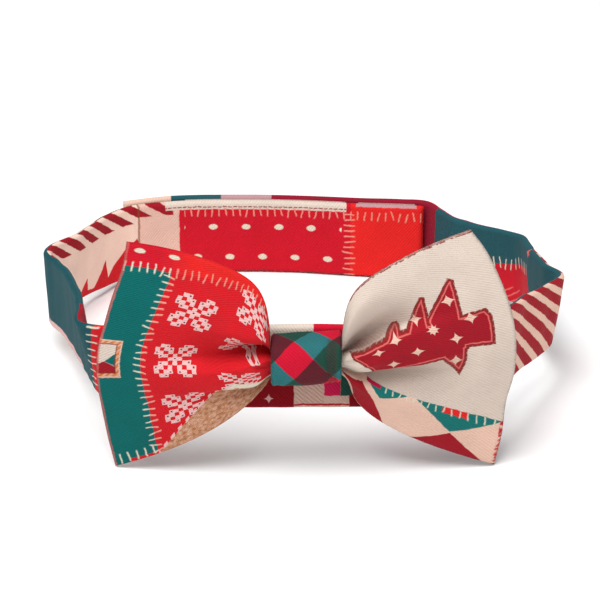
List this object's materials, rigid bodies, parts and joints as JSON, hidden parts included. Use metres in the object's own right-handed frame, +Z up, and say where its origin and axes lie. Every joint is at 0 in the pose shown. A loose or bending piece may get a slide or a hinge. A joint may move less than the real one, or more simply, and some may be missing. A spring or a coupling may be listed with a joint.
{
  "type": "pet bow tie",
  "caption": "Cloth pet bow tie: a pleated bow pinched by a wrapped knot on a flat collar strap that closes at the back with hook-and-loop tape.",
  "frame": {"origin": "on the surface the part stands on, below the middle of its bounding box", "axes": "+X to the right seen from the front of the bow, +Y from the bow to the back of the strap, +Z up"},
  "size_m": [0.1539, 0.1388, 0.0719],
  "materials": {
    "strap_cloth": "printed woven cloth",
    "loop_tape": "soft loop pile",
    "hook_tape": "fine nylon hooks",
    "bow_cloth": "printed woven cloth",
    "knot_cloth": "printed woven cloth"
  },
  "bodies": {
    "root": {"collar_strap": "strap_cloth", "loop_tape": "loop_tape", "hook_tape": "hook_tape", "bow": "bow_cloth", "knot_wrap": "knot_cloth"}
  },
  "joints": []
}
